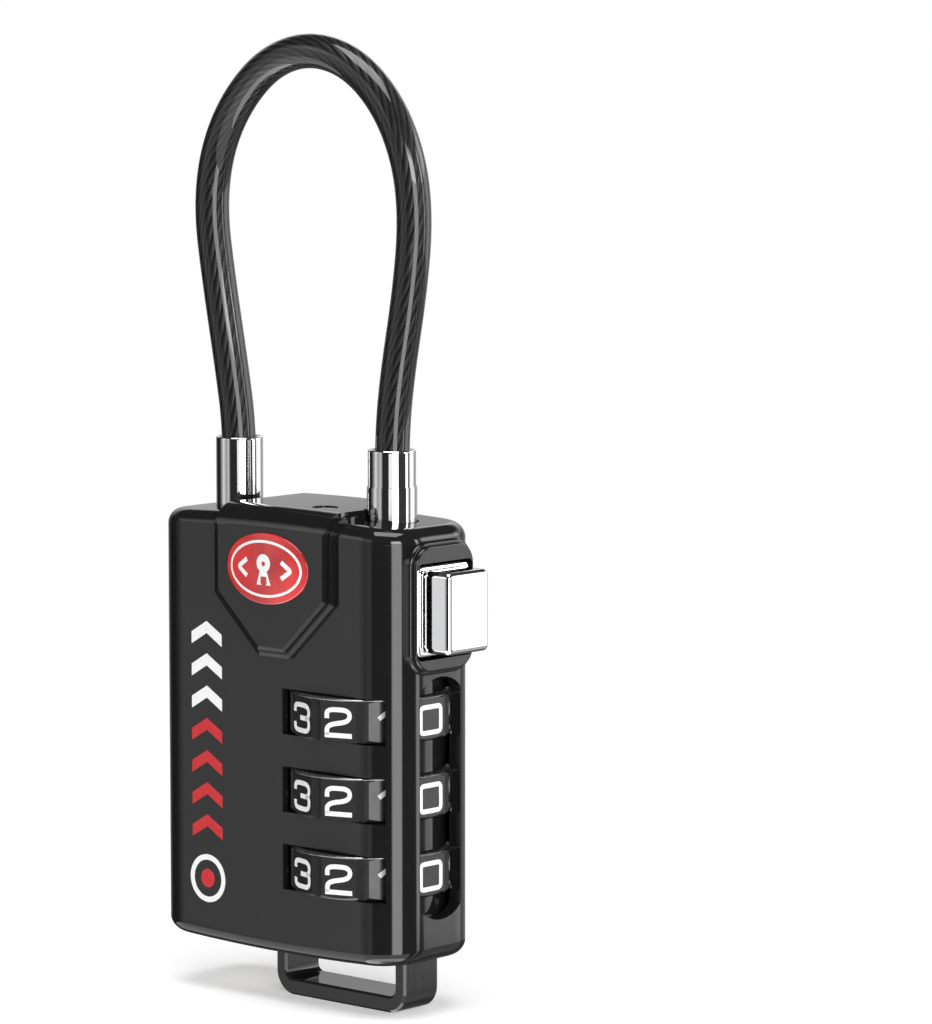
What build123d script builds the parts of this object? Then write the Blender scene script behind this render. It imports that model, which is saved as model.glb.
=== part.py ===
from build123d import *
import math
import os

# Cable luggage lock: a flat casing with three number dials, a push button on its right side,
# a steel cable looped over its top, a strap loop under it and a key cylinder in its bottom.
# Millimetres, +Z up. Every part is drawn about the casing's middle plane, with the foot of the
# strap loop at Z 0, and save() moves it so that the whole lock is centred over the origin.

# Casing
CASE_W = 30.0
CASE_D = 12.0
CASE_BOTTOM = 4.45
CASE_TOP = 44.15
CROWN_R = 240.0
CORNER_R = 4.0
EDGE_R = 1.4
WALL = 1.3
PARTING_Y = 3.0
FIT = 0.1

# Dials
DIAL_X = 6.9
DIAL_Z = {"bottom": 12.62, "middle": 19.65, "top": 26.68}
DIAL_R = 7.3
DIAL_T = 3.9
DIAL_BORE_R = 3.02
DIGITS = 10
FACET_HALF_ANGLE = 13.5
GROOVE_R = 6.95
DIAL_GAP = 0.13
SPINDLE_R = 1.1
SLEEVE_BORE_R = 1.15
GATE_DISC_R = 2.2

# Windows and side slot
WINDOW_LEFT = 1.56
WINDOW_RIGHT = 13.35
WINDOW_BELOW = 2.03
WINDOW_ABOVE = 2.1
DIAL_SWEEP_R = 7.5
SLOT_Y = (-2.5, PARTING_Y)
SLOT_TOP = 30.45
SLOT_BOTTOM = 8.65
SLOT_SCOOP = 1.15

# Dial cage
CAGE_LEFT = -3.9
SPINE_RIGHT = -2.85
CAGE_R = 6.7
PLATE_T = 0.9
GAP_T = 1.05
CAGE_TOP = 30.5
BAR_SLOT_HALF = 1.7

# Button and latch
BUTTON_Z = 36.5
BUTTON_FACE_X = 18.6
BUTTON_HALF_Y = 2.72
BUTTON_HALF_Z = 3.65
BUTTON_NECK_X = 15.75
BUTTON_NECK_INSET = 0.3
BUTTON_TRAVEL = 1.8
FLANGE_X = (14.6, 15.6)
FLANGE_HALF_Y = 3.45
FLANGE_HALF_Z = 4.1
BEZEL_FACE_X = 15.75
BEZEL_RIM_X = 15.35
BEZEL_RIM_W = 0.35
BEZEL_Z = (30.75, 42.65)
BEZEL_HALF_Y = 4.15
LATCH_T = 1.6
LATCH_LEFT = -0.85
FENCE_RIGHT = -0.5
LATCH_HALF_Y = 3.4
LATCH_EDGE_X = 8.2
BLOCK_RIGHT = 12.6

# Cable and its ends
CABLE_D = 3.1
CABLE_END_X = 9.4
FERRULE_R = 2.15
COLLAR_R = 2.25
FERRULE_TOP = 50.3
FERRULE_EDGE_R = 0.2
LEFT_JOINT_Z = 44.75
RIGHT_JOINT_Z = 47.0
CABLE_SEAT_Z = 46.4
PIN_R = 1.7
PIN_BOTTOM = 32.6
GROOVE = (33.9, 37.5)
GROOVE_PIN_R = 1.1

# Shield panel and badge
SHIELD_X = 0.875
SHIELD_HALF = 7.325
SHIELD_FLAT_HALF = 1.85
SHIELD_FLAT_Z = 31.55
SHIELD_SHOULDER_Z = 36.75
SHIELD_T = 0.85
SHIELD_LEDGE = 0.45
SHIELD_STEP = 0.6
SHIELD_BACK_Y = 5.1
SHIELD_BACK_R = 1.4
SHIELD_BEVEL_W = 0.32
SHIELD_BEVEL_T = 0.12
BADGE_Z = 39.55
BADGE_HALF_W = 5.0
BADGE_HALF_H = 3.2
BADGE_T = 0.75
BADGE_DOME_R = 26.0

# Reset pin
RESET_X = 4.0
RESET_Y = -2.9
RESET_R = 1.1

# Strap loop
LOOP_X = (-2.95, 12.9)
LOOP_D = 4.5
LOOP_BAR = 1.3
LOOP_FOOT = 1.5
LOOP_CORNER_R = 2.1
LOOP_FLANGE_Z = (6.35, 7.2)
LOOP_FLANGE_OUT = 0.6

# Key cylinder
KEY_X = -8.4
KEY_NOSE_R = 2.7
KEY_HOUSING_RIGHT = -4.1
KEY_PLUG_R = 2.05
KEY_TOP = 20.0
KEY_FACE_Z = 4.65

RIVETS = ((-8.5, 33.2), (4.0, 33.2), (-5.2, 9.0))
RIVET_R = 0.8

SHIELD_FRONT = -(CASE_D / 2 + SHIELD_T)
BADGE_FRONT = SHIELD_FRONT - 0.5
SHIFT = Location(((CASE_W / 2 - BUTTON_FACE_X) / 2, -(BADGE_FRONT + DIAL_R) / 2, 0))


def save(name, *solids):
    """Writes one named part, of one or more solids, moved so that the lock is centred over the origin."""
    moved = [solid.moved(SHIFT) for solid in solids]
    part = moved[0] if len(moved) == 1 else Compound(children=moved)
    part.label = name
    export_step(part, f"parts/{name}.step")


def block(x, y, z):
    """A box between the two limits given along each axis."""
    size = (x[1] - x[0], y[1] - y[0], z[1] - z[0])
    middle = (sum(x) / 2, sum(y) / 2, sum(z) / 2)
    return Pos(*middle) * Box(*size)


def post(x, y, z, radius):
    """A cylinder along Z between two heights."""
    return Pos(x, y, sum(z) / 2) * Cylinder(radius, z[1] - z[0])


def rod_along_y(x, z, y, radius):
    """A cylinder along Y between two depths."""
    return Pos(x, sum(y) / 2, z) * Rot(90, 0, 0) * Cylinder(radius, y[1] - y[0])


def crowned_block(grow, edge_radius):
    """The casing's outer form, grown or shrunk all over: round corners, slightly arched top and bottom."""
    plan = RectangleRounded(CASE_W + 2 * grow, CASE_D + 2 * grow, CORNER_R + grow)
    pillar = extrude(plan, CASE_TOP + grow + 5)
    reach = CASE_W / 2 + grow + 1
    top = CASE_TOP + grow
    bottom = CASE_BOTTOM - grow
    drop = CROWN_R - math.sqrt(CROWN_R**2 - reach**2)
    outline = [
        Line((-reach, bottom + drop), (-reach, top - drop)),
        ThreePointArc((-reach, top - drop), (0, top), (reach, top - drop)),
        Line((reach, top - drop), (reach, bottom + drop)),
        ThreePointArc((reach, bottom + drop), (0, bottom), (-reach, bottom + drop)),
    ]
    band = extrude(Plane.XZ * make_face(outline), CASE_D, both=True)
    crowned = pillar & band
    rims = crowned.edges().filter_by(Axis.Z, reverse=True)
    return fillet(rims, edge_radius)


def side_prism(half_y, z, x, corner):
    """A prism along X with a rounded rectangular section."""
    height = z[1] - z[0]
    section = Plane.YZ.offset(x[0]) * Pos(0, sum(z) / 2) * RectangleRounded(2 * half_y, height, corner)
    return extrude(section, x[1] - x[0])


def coil(radius, wire, turns, length):
    """A helical spring standing on Z 0, with its wire inside the given radius and length."""
    rise = length - wire
    path = Helix(rise / turns, rise, radius - wire / 2)
    section = Plane(origin=path @ 0, z_dir=path % 0) * Circle(wire / 2)
    return Pos(0, 0, wire / 2) * sweep(section, path, is_frenet=True)


def only_solid(part):
    """The largest solid of a part, so that no sliver is left beside it."""
    return part.solids().sort_by(SortBy.VOLUME)[-1]


case_outer = crowned_block(0, EDGE_R)
case_cavity = crowned_block(-WALL, 0.3)
case_filler = crowned_block(-(WALL + FIT), 0.3)


def dial_windows():
    """What is cut from the casing for the dials: the front windows, and the room they turn in."""
    cut = None
    for z in DIAL_Z.values():
        heights = (z - WINDOW_BELOW, z + WINDOW_ABOVE)
        front = block((WINDOW_LEFT, WINDOW_RIGHT), (-CASE_D, -CASE_D / 2 + WALL + 0.3), heights)
        opening = front + post(DIAL_X, 0, heights, DIAL_SWEEP_R)
        cut = opening if cut is None else cut + opening
    return cut


def side_slot():
    """The thumb slot in the right side, with scooped ends, up to the parting plane."""
    front, rear = SLOT_Y
    middle = (front + rear) / 2
    low = SLOT_BOTTOM + SLOT_SCOOP
    high = SLOT_TOP - SLOT_SCOOP
    outline = [
        Line((front, low), (front, high)),
        ThreePointArc((front, high), (middle, SLOT_TOP), (rear, high)),
        Line((rear, high), (rear, low)),
        ThreePointArc((rear, low), (middle, SLOT_BOTTOM), (front, low)),
    ]
    depth = CASE_W / 2 + 1 - BLOCK_RIGHT
    return extrude(Plane.YZ.offset(BLOCK_RIGHT) * make_face(outline), depth)


def top_holes():
    """Holes in the casing's top for the cable's two ends and the reset pin."""
    heights = (CASE_TOP - 3, CASE_TOP + 3)
    left = post(-CABLE_END_X, 0, heights, FERRULE_R + 0.05)
    right = post(CABLE_END_X, 0, heights, COLLAR_R + 0.15)
    reset = post(RESET_X, RESET_Y, heights, RESET_R + 0.08)
    return left + right + reset


def make_shells():
    hollow = case_outer - case_cavity - dial_windows()
    front_side = block((-20, 20), (-20, PARTING_Y), (0, 50))
    rear_side = block((-20, 20), (PARTING_Y, 20), (0, 50))
    front = hollow & front_side
    front -= side_slot()
    front -= top_holes()
    button_hole = side_prism(FLANGE_HALF_Y + 0.2, (BUTTON_Z - 4.3, BUTTON_Z + 4.3), (12.6, 17), 0.6)
    front -= button_hole
    front -= post(KEY_X, 0, (3, 7), KEY_NOSE_R + 0.05)
    for leg_x in (LOOP_X[0] + LOOP_BAR / 2, LOOP_X[1] - LOOP_BAR / 2):
        half = LOOP_BAR / 2 + 0.05
        front -= block((leg_x - half, leg_x + half), (-LOOP_D / 2 - 0.05, LOOP_D / 2 + 0.05), (3, 6.5))
    rear = (hollow & rear_side) - button_hole
    for x, z in RIVETS:
        rear -= rod_along_y(x, z, (PARTING_Y, CASE_D), RIVET_R + 0.02)
        rear -= rod_along_y(x, z, (CASE_D / 2 - 0.5, CASE_D), 1.32)
    save("front_shell", only_solid(front))
    save("rear_cover", only_solid(rear))


def make_rivets():
    rivets = []
    for x, z in RIVETS:
        shank = rod_along_y(x, z, (1.0, CASE_D / 2 - 0.5), RIVET_R - 0.02)
        head = rod_along_y(x, z, (CASE_D / 2 - 0.5, CASE_D / 2 - 0.05), 1.25)
        rivets.append((shank + head).solid())
    save("cover_rivets", *rivets)


def shield_slab(grow, inset):
    """One layer of the shield: a skin grown from the casing, inside the outline, with a shallow bevel."""
    skin = crowned_block(grow, EDGE_R + grow)
    face_y = CASE_D / 2 + grow
    slab = extrude(shield_outline(inset), face_y - SHIELD_BEVEL_T) + extrude(shield_outline(inset), -CASE_D)
    slope = math.degrees(math.atan2(SHIELD_BEVEL_W, SHIELD_BEVEL_T))
    bevel_foot = Pos(0, SHIELD_BEVEL_T - face_y, 0) * shield_outline(inset)
    slab += extrude(bevel_foot, SHIELD_BEVEL_T, taper=slope)
    return skin & slab


def shield_outline(inset):
    """The shield's front outline as a face in the XZ plane, drawn in by inset."""
    half = SHIELD_HALF - inset
    flat = SHIELD_FLAT_HALF - inset * 0.4
    foot = SHIELD_FLAT_Z + inset
    shoulder = SHIELD_SHOULDER_Z + inset * 0.4
    points = [
        (SHIELD_X - half, CASE_TOP + 5),
        (SHIELD_X - half, shoulder),
        (SHIELD_X - flat, foot),
        (SHIELD_X + flat, foot),
        (SHIELD_X + half, shoulder),
        (SHIELD_X + half, CASE_TOP + 5),
    ]
    return Plane.XZ * make_face(Polyline(*points, close=True))


def make_shield():
    """A stepped panel that lies on the casing's front and wraps over its top."""
    panel = shield_slab(SHIELD_LEDGE, 0) + shield_slab(SHIELD_T, SHIELD_STEP)
    plan = RectangleRounded(2 * SHIELD_HALF, 4 * SHIELD_BACK_Y, SHIELD_BACK_R)
    panel &= extrude(Pos(SHIELD_X, -SHIELD_BACK_Y, 0) * plan, 2 * CASE_TOP)
    panel -= case_outer
    panel -= post(CABLE_END_X, 0, (40, 50), COLLAR_R + 0.25)
    panel -= post(RESET_X, RESET_Y, (40, 50), RESET_R + 0.08)
    seat = Plane.XZ.offset(-SHIELD_FRONT - 0.25) * Pos(SHIELD_X - 0.3, BADGE_Z) * Ellipse(
        BADGE_HALF_W + 0.05, BADGE_HALF_H + 0.05
    )
    panel -= extrude(seat, 2)
    save("shield_panel", only_solid(panel))


def make_badge():
    """A plain oval badge with a domed face, seated in the shield."""
    face = Plane.XZ.offset(-SHIELD_FRONT - 0.25) * Pos(SHIELD_X - 0.3, BADGE_Z) * Ellipse(
        BADGE_HALF_W, BADGE_HALF_H
    )
    centre = (SHIELD_X - 0.3, BADGE_FRONT + BADGE_DOME_R, BADGE_Z)
    badge = extrude(face, BADGE_T) & Pos(*centre) * Sphere(BADGE_DOME_R)
    rim = badge.edges().filter_by(lambda edge: edge.center().Y < SHIELD_FRONT).sort_by(SortBy.LENGTH)
    save("badge", fillet(rim[-1], 0.12).solid())


def make_bezel():
    low, high = BEZEL_Z
    rim = side_prism(BEZEL_HALF_Y, BEZEL_Z, (13.2, BEZEL_RIM_X), 2.3)
    rim = fillet(rim.faces().sort_by(Axis.X)[-1].edges(), 0.3)
    raised_z = (low + BEZEL_RIM_W, high - BEZEL_RIM_W)
    raised = side_prism(BEZEL_HALF_Y - BEZEL_RIM_W, raised_z, (13.2, BEZEL_FACE_X), 2.3 - BEZEL_RIM_W)
    raised = fillet(raised.faces().sort_by(Axis.X)[-1].edges(), 0.2)
    bezel = rim + raised
    hole_z = (BUTTON_Z - FLANGE_HALF_Z - 0.2, BUTTON_Z + FLANGE_HALF_Z + 0.2)
    bezel -= case_outer
    bezel -= side_prism(FLANGE_HALF_Y + 0.2, hole_z, (12, 20), 0.6)
    save("button_bezel", only_solid(bezel))


def make_button():
    low, high = FLANGE_X
    flange_z = (BUTTON_Z - FLANGE_HALF_Z, BUTTON_Z + FLANGE_HALF_Z)
    flange = side_prism(FLANGE_HALF_Y, flange_z, (low, high), 0.6)
    flange = fillet(flange.faces().sort_by(Axis.X)[-1].edges(), 0.35)
    neck_half = BUTTON_HALF_Z - BUTTON_NECK_INSET
    neck_z = (BUTTON_Z - neck_half, BUTTON_Z + neck_half)
    neck = side_prism(BUTTON_HALF_Y - BUTTON_NECK_INSET, neck_z, (high - 0.2, BUTTON_NECK_X + 0.2), 0.4)
    cap_z = (BUTTON_Z - BUTTON_HALF_Z, BUTTON_Z + BUTTON_HALF_Z)
    cap = side_prism(BUTTON_HALF_Y, cap_z, (BUTTON_NECK_X, BUTTON_FACE_X), 0.55)
    cap = fillet(cap.faces().sort_by(Axis.X)[-1].edges(), 0.5)
    cap = fillet(cap.faces().sort_by(Axis.X)[0].edges(), 0.15)
    save("push_button", (flange + neck + cap).solid())


def make_latch():
    """The steel yoke behind the button, with a hole that the plug pin passes through."""
    low = BUTTON_Z - LATCH_T / 2
    high = BUTTON_Z + LATCH_T / 2
    plate = block((LATCH_LEFT, FLANGE_X[0]), (-LATCH_HALF_Y, LATCH_HALF_Y), (low, high))
    clear = PIN_R + 0.3
    hole_right = CABLE_END_X + BUTTON_TRAVEL + 0.1
    plate -= block((LATCH_EDGE_X + clear * 0.5, hole_right), (-clear, clear), (low - 1, high + 1))
    plate -= post(hole_right, 0, (low - 1, high + 1), clear)
    plate -= block((LATCH_EDGE_X, CABLE_END_X), (-clear * 0.75, clear * 0.75), (low - 1, high + 1))
    save("latch_slide", plate.solid())


def gate_height(dial):
    """Middle height of the gap in the shelf under a dial, where its gate disc turns."""
    return DIAL_Z[dial] - DIAL_T / 2 - DIAL_GAP - PLATE_T - GAP_T / 2


def make_fence():
    """A comb that the latch carries: one yoke around each gate disc, on an upright strip."""
    strip_bottom = gate_height("bottom") - 0.35
    fence = block((LATCH_LEFT, FENCE_RIGHT), (-1.5, 1.5), (strip_bottom, BUTTON_Z - LATCH_T / 2))
    hole_right = DIAL_X + GATE_DISC_R + BUTTON_TRAVEL + 0.2
    for dial in DIAL_Z:
        level = gate_height(dial)
        heights = (level - 0.35, level + 0.35)
        yoke = block((LATCH_LEFT, 12.3), (-2.9, 2.9), heights)
        yoke -= block((DIAL_X - GATE_DISC_R - 0.2, hole_right), (-2.4, 2.4), heights)
        fence += yoke
    save("code_fence", fence.solid())


def make_dial(name):
    """A number wheel: ten flats, one to a digit, with shallow grooves between them."""
    z = DIAL_Z[name]
    points = []
    for digit in range(DIGITS):
        middle = 360 / DIGITS * digit
        for turn, radius in ((-FACET_HALF_ANGLE, DIAL_R), (FACET_HALF_ANGLE, DIAL_R), (18, GROOVE_R)):
            angle = math.radians(middle + turn)
            points.append((radius * math.cos(angle), radius * math.sin(angle)))
    rim = extrude(make_face(Polyline(*points, close=True)), DIAL_T / 2, both=True)
    drum = Cylinder(DIAL_R, DIAL_T)
    drum = chamfer(drum.edges().filter_by(GeomType.CIRCLE), 0.3)
    wheel = (rim & drum) - Cylinder(DIAL_BORE_R, DIAL_T + 1)
    save(f"dial_{name}", Pos(DIAL_X, 0, z) * wheel.solid())


def make_sleeve(name):
    """The gate sleeve inside a dial: a hub, and a notched disc in the shelf under the dial."""
    z = DIAL_Z[name]
    dial_bottom = z - DIAL_T / 2
    disc_bottom = gate_height(name) - GAP_T / 2 + 0.05
    sleeve = post(DIAL_X, 0, (dial_bottom, z + DIAL_T / 2), DIAL_BORE_R - 0.02)
    sleeve += post(DIAL_X, 0, (disc_bottom, dial_bottom + 0.1), GATE_DISC_R)
    sleeve -= post(DIAL_X, 0, (disc_bottom - 1, z + DIAL_T), SLEEVE_BORE_R)
    gate = block((-GATE_DISC_R - 1, -GATE_DISC_R + 0.7), (-0.5, 0.5), (disc_bottom - 1, dial_bottom - 0.1))
    sleeve -= Pos(DIAL_X, 0, 0) * Rot(0, 0, 108) * gate
    save(f"gate_sleeve_{name}", sleeve.solid())


def make_cage():
    """Shelves between the dials on one upright spine. Each shelf is hollow for a yoke."""
    everything = block((CAGE_LEFT, 15), (-6, 6), (0, 60)) & case_filler
    lowest = DIAL_Z["bottom"] - DIAL_T / 2 - DIAL_GAP - 2 * PLATE_T - GAP_T
    spine = block((CAGE_LEFT, SPINE_RIGHT), (-6, 6), (lowest, CAGE_TOP))
    shelf_end = post(DIAL_X, 0, (0, 60), CAGE_R) + block((CAGE_LEFT, DIAL_X), (-6, 6), (0, 60))
    cage = spine
    for z in DIAL_Z.values():
        top = z - DIAL_T / 2 - DIAL_GAP
        bottom = top - 2 * PLATE_T - GAP_T
        cage += block((CAGE_LEFT, 15), (-6, 6), (bottom, top)) & shelf_end
    roof = DIAL_Z["top"] + DIAL_T / 2 + DIAL_GAP
    cage += block((CAGE_LEFT, 15), (-6, 6), (roof, CAGE_TOP)) & shelf_end
    cage &= everything
    for dial in DIAL_Z:
        level = gate_height(dial)
        gap = (level - GAP_T / 2, level + GAP_T / 2)
        cage -= block((SPINE_RIGHT, 12.4), (-3.0, 3.0), gap)
        cage -= post(DIAL_X, 0, (gap[0], gap[1] + PLATE_T + 0.1), GATE_DISC_R + 0.15)
    cage -= block((SPINE_RIGHT, 0.15), (-BAR_SLOT_HALF, BAR_SLOT_HALF), (lowest + PLATE_T, 60))
    cage -= post(DIAL_X, 0, (0, 60), SPINDLE_R + 0.02)
    save("dial_cage", only_solid(cage))


def make_spindle():
    lowest = DIAL_Z["bottom"] - DIAL_T / 2 - DIAL_GAP - 2 * PLATE_T - GAP_T
    spindle = post(DIAL_X, 0, (lowest - 0.6, CAGE_TOP - 0.02), SPINDLE_R)
    spindle += post(DIAL_X, 0, (lowest - 0.7, lowest), 1.6)
    save("spindle", spindle.solid())


def make_detents():
    """One bent leaf spring beside each dial, footed on the spine."""
    leaves = []
    for z in DIAL_Z.values():
        foot = block((SPINE_RIGHT, SPINE_RIGHT + 0.2), (2.2, 4.2), (z - 1.5, z + 1.5))
        finger = block((SPINE_RIGHT, 0.5), (4.0, 4.2), (z - 1.0, z + 1.0))
        leaves.append((foot + finger).solid())
    save("detent_springs", *leaves)


def rivet_holes():
    """Blind holes for the cover's rivets, from the rear."""
    holes = [rod_along_y(x, z, (0.9, 6), RIVET_R) for x, z in RIVETS]
    return holes[0] + holes[1] + holes[2]


def make_lock_block():
    """The cast block in the casing's top. It guides the latch and holds both ends of the cable."""
    casting = case_filler & block((-20, BLOCK_RIGHT), (-6, 6), (CAGE_TOP, 50))
    casting -= block((-2.75, 20), (-LATCH_HALF_Y - 0.2, LATCH_HALF_Y + 0.2), (BUTTON_Z - 1, BUTTON_Z + 1))
    casting -= block((-2.75, 0.2), (-BAR_SLOT_HALF, BAR_SLOT_HALF), (30, BUTTON_Z))
    casting -= post(CABLE_END_X, 0, (31.3, 50), PIN_R + 0.1)
    casting -= post(-CABLE_END_X, 0, (36.5, 50), 2.0)
    clip_pocket = post(-CABLE_END_X, 0, (38.2, 39.2), 3.1)
    clip_pocket += block((-CABLE_END_X - 3.1, -CABLE_END_X + 3.1), (0, 6), (38.2, 39.2))
    casting -= clip_pocket
    casting -= post(RESET_X, RESET_Y, (37.9, 50), RESET_R + 0.1)
    spring_pocket = Pos(-3.2, 0, BUTTON_Z) * Rot(0, 90, 0) * Cylinder(1.4, 6.8)
    casting -= spring_pocket
    save("lock_block", only_solid(casting - rivet_holes()))


def make_cable_ends():
    ferrule = post(0, 0, (0, FERRULE_TOP - RIGHT_JOINT_Z), FERRULE_R)
    ferrule = fillet(ferrule.edges().sort_by(Axis.Z)[-1], FERRULE_EDGE_R)
    ferrule -= post(0, 0, (-1, 20), CABLE_D / 2 + 0.05)
    save("ferrule_right", Pos(CABLE_END_X, 0, RIGHT_JOINT_Z) * ferrule.solid())
    left = post(0, 0, (0, FERRULE_TOP - LEFT_JOINT_Z), FERRULE_R)
    left = fillet(left.edges().sort_by(Axis.Z)[-1], FERRULE_EDGE_R)
    left -= post(0, 0, (CABLE_SEAT_Z - LEFT_JOINT_Z, 20), CABLE_D / 2 + 0.05)
    save("ferrule_left", Pos(-CABLE_END_X, 0, LEFT_JOINT_Z) * left.solid())

    pin = post(0, 0, (GROOVE[1], 43.0), PIN_R)
    pin += post(0, 0, (PIN_BOTTOM + 0.6, GROOVE[0]), PIN_R)
    pin += post(0, 0, (GROOVE[0], GROOVE[1]), GROOVE_PIN_R)
    pin += Pos(0, 0, PIN_BOTTOM + 0.3) * Cone(PIN_R - 0.4, PIN_R, 0.6)
    pin += post(0, 0, (42.9, RIGHT_JOINT_Z), COLLAR_R)
    pin -= post(0, 0, (CABLE_SEAT_Z, RIGHT_JOINT_Z + 1), CABLE_D / 2 + 0.05)
    save("plug_pin", Pos(CABLE_END_X, 0, 0) * pin.solid())

    stub = post(0, 0, (42.8, LEFT_JOINT_Z), FERRULE_R)
    stub += post(0, 0, (36.7, 42.9), 1.9)
    stub -= post(0, 0, (38.25, 39.15), 3) - post(0, 0, (38.25, 39.15), 1.4)
    save("anchor_stub", Pos(-CABLE_END_X, 0, 0) * stub.solid())
    clip = post(0, 0, (38.3, 39.1), 3.0) - post(0, 0, (38, 40), 1.42)
    clip -= block((-1.0, 1.0), (0, 5), (38, 40))
    save("anchor_clip", Pos(-CABLE_END_X, 0, 0) * clip.solid())


# The cable's route, from the captive ferrule over the top to the plug, by hand.
CABLE_ROUTE = [
    (-9.4, 46.4),
    (-9.4, 50.9),
    (-10.3, 56.3),
    (-11.95, 64.6),
    (-12.95, 71.0),
    (-12.0, 76.5),
    (-9.3, 81.0),
    (-5.2, 84.45),
    (-0.2, 85.65),
    (4.9, 84.35),
    (9.0, 80.8),
    (11.5, 76.0),
    (12.25, 70.8),
    (11.6, 64.6),
    (9.95, 56.3),
    (9.4, 50.9),
    (9.4, 46.4),
]


def arc_radii(route):
    """For each corner the radius whose arc uses 0.45 of the shorter of its two runs."""
    radii = []
    for before, here, after in zip(route, route[1:], route[2:]):
        come = Vector(here[0] - before[0], 0, here[1] - before[1])
        go = Vector(after[0] - here[0], 0, after[1] - here[1])
        turn = math.radians(come.get_angle(go))
        radii.append(0.45 * min(come.length, go.length) / math.tan(turn / 2))
    return radii


def make_cable():
    radii = arc_radii(CABLE_ROUTE)
    print("cable arc radii", [round(r, 1) for r in radii])
    points = [(x, 0, z) for x, z in CABLE_ROUTE]
    path = FilletPolyline(*points, radius=radii)
    section = Plane(origin=points[0], z_dir=(0, 0, 1)) * Circle(CABLE_D / 2)
    tube = sweep(section, path)
    expected = math.pi * (CABLE_D / 2) ** 2 * path.length
    print("cable length", round(path.length, 1), "volume", round(tube.volume, 1), "expected", round(expected, 1))
    save("cable", tube)


def make_springs():
    ejector = coil(1.45, 0.3, 2.5, PIN_BOTTOM - 31.3 - 0.04)
    save("ejector_spring", Pos(CABLE_END_X, 0, 31.32) * ejector)
    button = coil(1.2, 0.3, 7, LATCH_LEFT + 6.6 - 0.04)
    save("button_spring", Pos(-6.58, 0, BUTTON_Z) * Rot(0, 90, 0) * button)
    reset = coil(0.95, 0.22, 4, 2.26)
    save("reset_spring", Pos(RESET_X, RESET_Y, 37.92) * reset)


def make_reset_pin():
    top = CASE_TOP + SHIELD_T - 0.12
    pin = post(RESET_X, RESET_Y, (40.2, top), RESET_R)
    save("reset_pin", chamfer(pin.edges().sort_by(Axis.Z)[-1], 0.12))


def make_strap_loop():
    """A flat bar bent into a U under the casing, with two feet hooked inside it."""
    left, right = LOOP_X
    height = LOOP_FLANGE_Z[1]
    middle = (left + right) / 2
    slab = Pos(middle, 0, height / 2) * Box(right - left, LOOP_D, height)
    lower = [e for e in slab.edges().filter_by(Axis.Y) if e.center().Z < 1]
    slab = fillet(lower, LOOP_CORNER_R)
    gap = Pos(middle, 0, (LOOP_FOOT + 20) / 2) * Box(right - left - 2 * LOOP_BAR, LOOP_D + 2, 20 - LOOP_FOOT)
    inner = [e for e in gap.edges().filter_by(Axis.Y) if e.center().Z < 5]
    slab -= fillet(inner, 0.7)
    rims = [e for e in slab.edges() if abs(abs(e.center().Y) - LOOP_D / 2) < 0.01 and e.center().Z < 4.2]
    slab = chamfer(rims, 0.2)
    for side, edge in ((-1, left), (1, right)):
        foot_x = sorted((edge + side * LOOP_FLANGE_OUT, edge - side * 0.2))
        slab += block(foot_x, (-LOOP_D / 2 + 0.2, LOOP_D / 2 - 0.2), LOOP_FLANGE_Z)
    save("strap_loop", slab.solid())


def make_key_cylinder():
    housing = case_filler & block((-20, KEY_HOUSING_RIGHT), (-6, 6), (0, KEY_TOP))
    housing += post(KEY_X, 0, (KEY_FACE_Z, 6.5), KEY_NOSE_R)
    housing -= post(KEY_X, 0, (0, 30), KEY_PLUG_R + 0.05)
    save("key_housing", only_solid(housing - rivet_holes()))

    plug = post(KEY_X, 0, (KEY_FACE_Z + 0.05, KEY_TOP), KEY_PLUG_R)
    plug += block((KEY_X - 0.8, KEY_X + 0.8), (-0.8, 0.8), (KEY_TOP, KEY_TOP + 1.5))
    plug -= block((KEY_X - 0.45, KEY_X + 0.45), (-1.5, 1.5), (0, KEY_TOP - 2))
    wafers = []
    for number in range(4):
        z = 8.4 + 2.5 * number
        plug -= block((KEY_X - 0.85, KEY_X + 0.85), (-1.75, 1.75), (z - 0.38, z + 0.38))
        wafer = block((KEY_X - 0.8, KEY_X + 0.8), (-1.7, 1.7), (z - 0.3, z + 0.3))
        wafer -= block((KEY_X - 0.45, KEY_X + 0.45), (-1.1, 0.7 + 0.1 * number), (z - 1, z + 1))
        wafers.append(wafer.solid())
    save("key_plug", plug.solid())
    save("key_wafers", *wafers)

    cam = block((KEY_X - 3.9, KEY_X + 1.6), (-1.1, 1.1), (KEY_TOP + 0.15, KEY_TOP + 1.35))
    cam = fillet(cam.edges().filter_by(Axis.Z), 1.0)
    cam -= block((KEY_X - 0.82, KEY_X + 0.82), (-0.82, 0.82), (KEY_TOP, KEY_TOP + 3))
    save("key_cam", cam.solid())


make_shells()
make_rivets()
make_shield()
make_badge()
make_bezel()
make_button()
make_latch()
make_fence()
for dial_name in DIAL_Z:
    make_dial(dial_name)
    make_sleeve(dial_name)
make_cage()
make_spindle()
make_detents()
make_lock_block()
make_cable_ends()
make_cable()
make_springs()
make_reset_pin()
make_strap_loop()
make_key_cylinder()
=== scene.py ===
import math

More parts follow.
